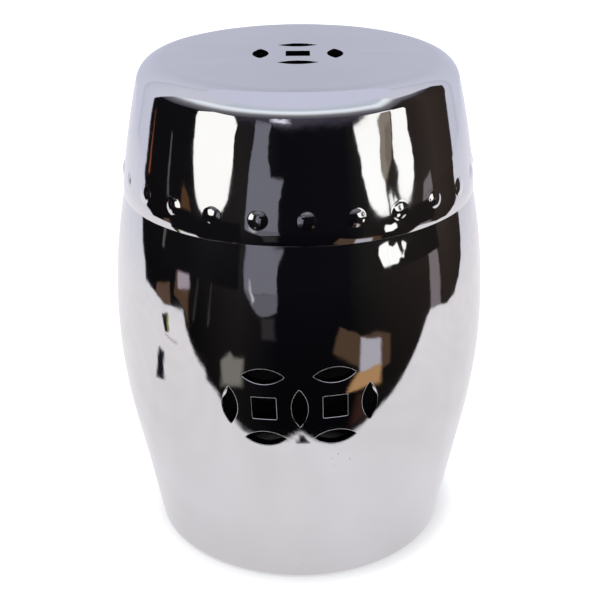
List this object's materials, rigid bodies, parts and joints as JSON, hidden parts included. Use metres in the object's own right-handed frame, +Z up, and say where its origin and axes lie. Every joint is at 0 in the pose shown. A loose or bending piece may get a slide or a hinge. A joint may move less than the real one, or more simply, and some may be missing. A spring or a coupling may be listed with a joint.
{
  "type": "garden stool",
  "caption": "Hollow drum-shaped ceramic garden stool with a mirror-like silver finish, pierced coin openings in the seat and barrel, and a ring of nail heads.",
  "frame": {"origin": "on the floor under the middle of the stool", "axes": "+Z up along the stool's axis, -Y out of the front pierced panel"},
  "size_m": [0.3432, 0.3432, 0.457],
  "materials": {
    "silver_glaze": "mirror-like metallic silver glaze on stoneware"
  },
  "bodies": {
    "root": {"foot_ring": "silver_glaze", "barrel_wall": "silver_glaze", "drum_band": "silver_glaze", "seat_disc": "silver_glaze", "nail_head_01": "silver_glaze", "nail_head_02": "silver_glaze", "nail_head_03": "silver_glaze", "nail_head_04": "silver_glaze", "nail_head_05": "silver_glaze", "nail_head_06": "silver_glaze", "nail_head_07": "silver_glaze", "nail_head_08": "silver_glaze", "nail_head_09": "silver_glaze", "nail_head_10": "silver_glaze", "nail_head_11": "silver_glaze", "nail_head_12": "silver_glaze", "nail_head_13": "silver_glaze", "nail_head_14": "silver_glaze", "nail_head_15": "silver_glaze", "nail_head_16": "silver_glaze", "nail_head_17": "silver_glaze", "nail_head_18": "silver_glaze", "nail_head_19": "silver_glaze", "nail_head_20": "silver_glaze", "nail_head_21": "silver_glaze", "nail_head_22": "silver_glaze", "nail_head_23": "silver_glaze", "nail_head_24": "silver_glaze", "nail_head_25": "silver_glaze"}
  },
  "joints": []
}
